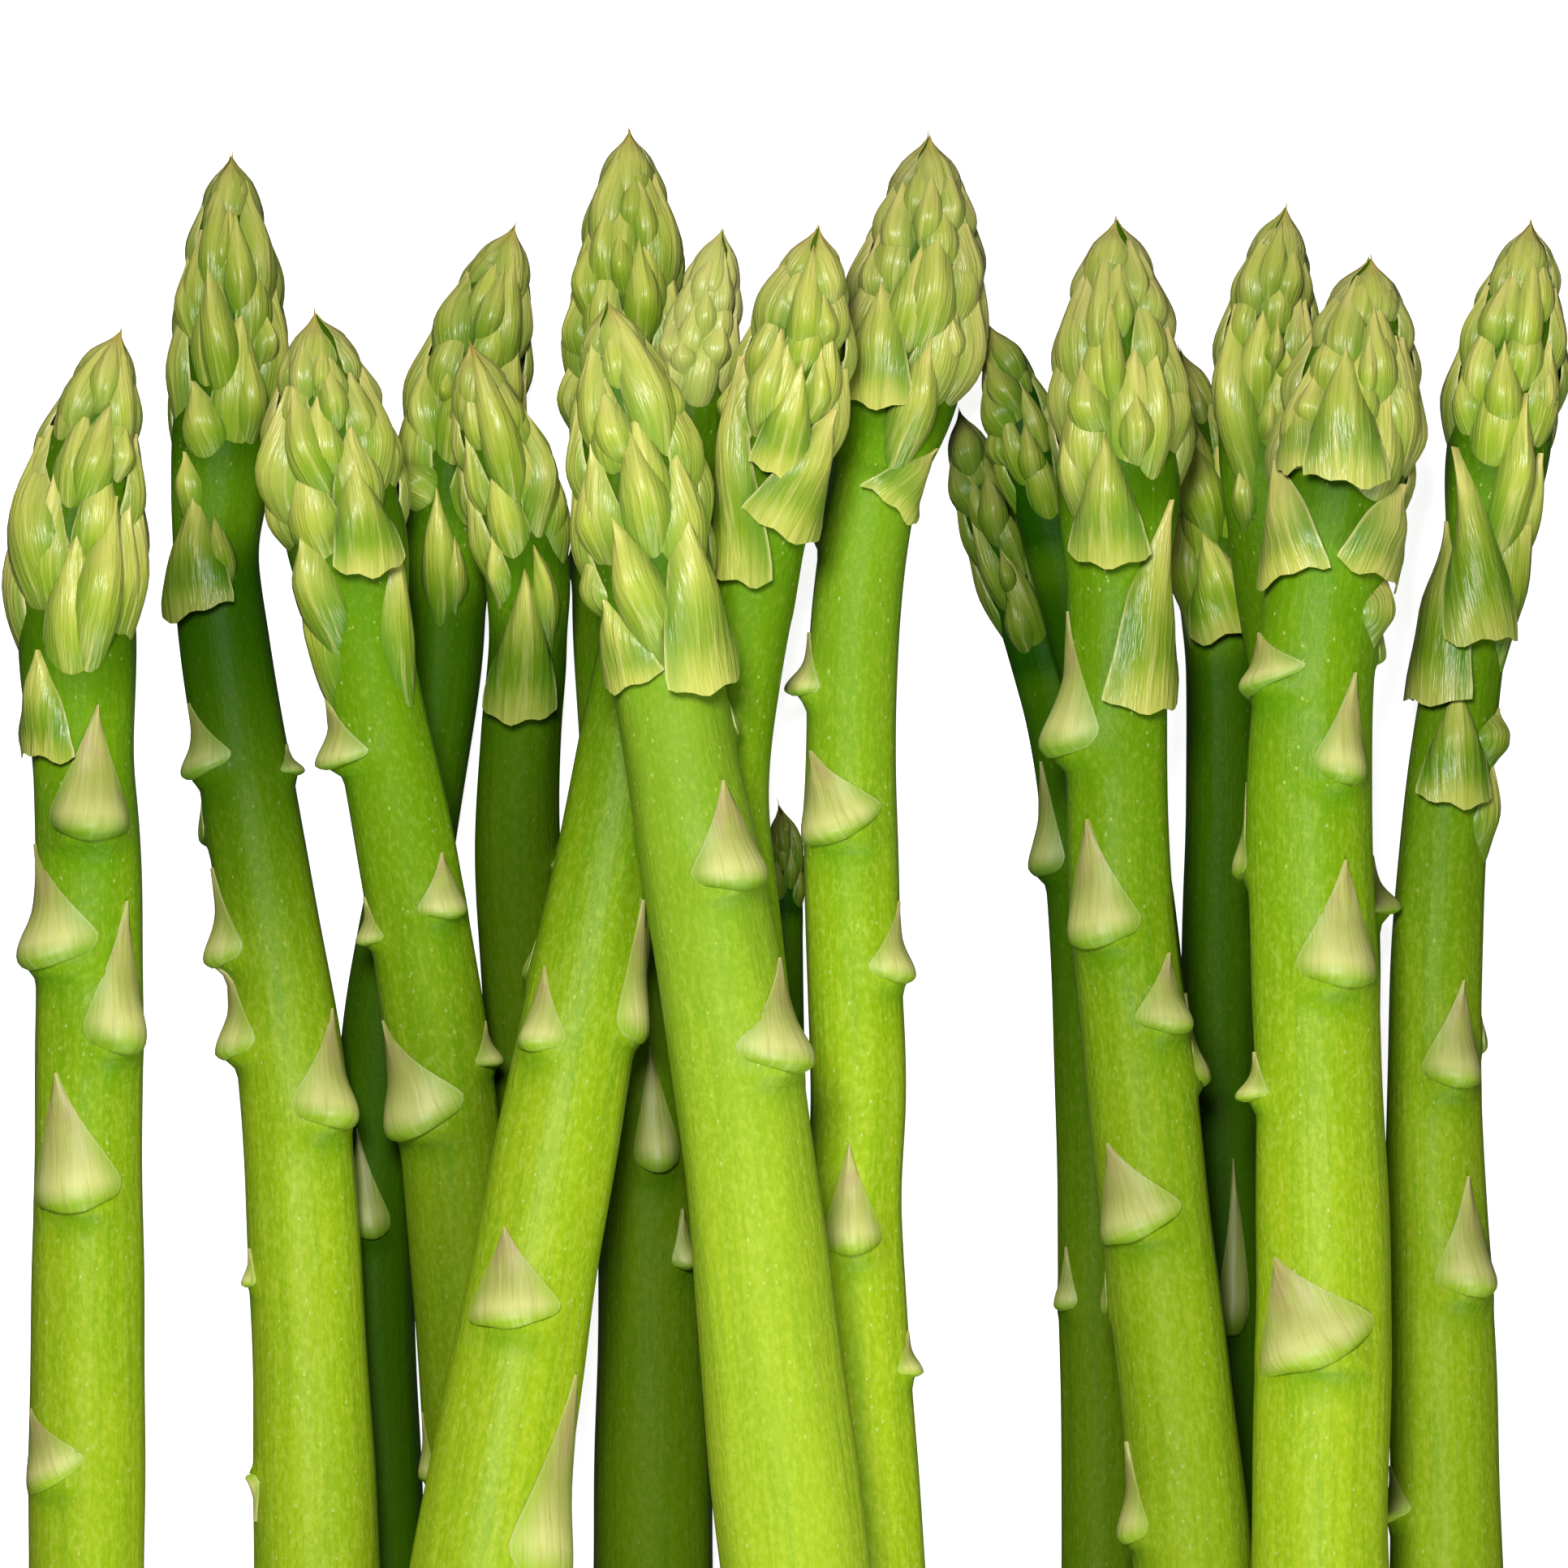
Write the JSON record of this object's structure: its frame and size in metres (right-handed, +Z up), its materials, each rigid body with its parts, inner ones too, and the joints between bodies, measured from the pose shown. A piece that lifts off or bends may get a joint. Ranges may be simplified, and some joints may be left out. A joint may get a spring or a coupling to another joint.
{
  "type": "asparagus bunch",
  "caption": "Loose bunch of green asparagus lying flat, tips one way, the round stems side by side and over each other, with scaled heads and small bracts.",
  "frame": {"origin": "middle of the bunch's footprint, on the flat surface it lies on", "axes": "+Z up from the surface, +Y along the spears towards the tips, +X across the bunch"},
  "size_m": [0.1925, 0.2242, 0.0441],
  "materials": {
    "asparagus": "satin"
  },
  "bodies": {
    "root": {"spear_01": "asparagus", "spear_02": "asparagus", "spear_03": "asparagus", "spear_04": "asparagus", "spear_05": "asparagus", "spear_06": "asparagus", "spear_07": "asparagus", "spear_08": "asparagus", "spear_09": "asparagus", "spear_10": "asparagus", "spear_11": "asparagus", "spear_12": "asparagus", "spear_13": "asparagus", "spear_14": "asparagus", "spear_15": "asparagus", "spear_16": "asparagus", "spear_17": "asparagus", "spear_18": "asparagus"}
  },
  "joints": []
}
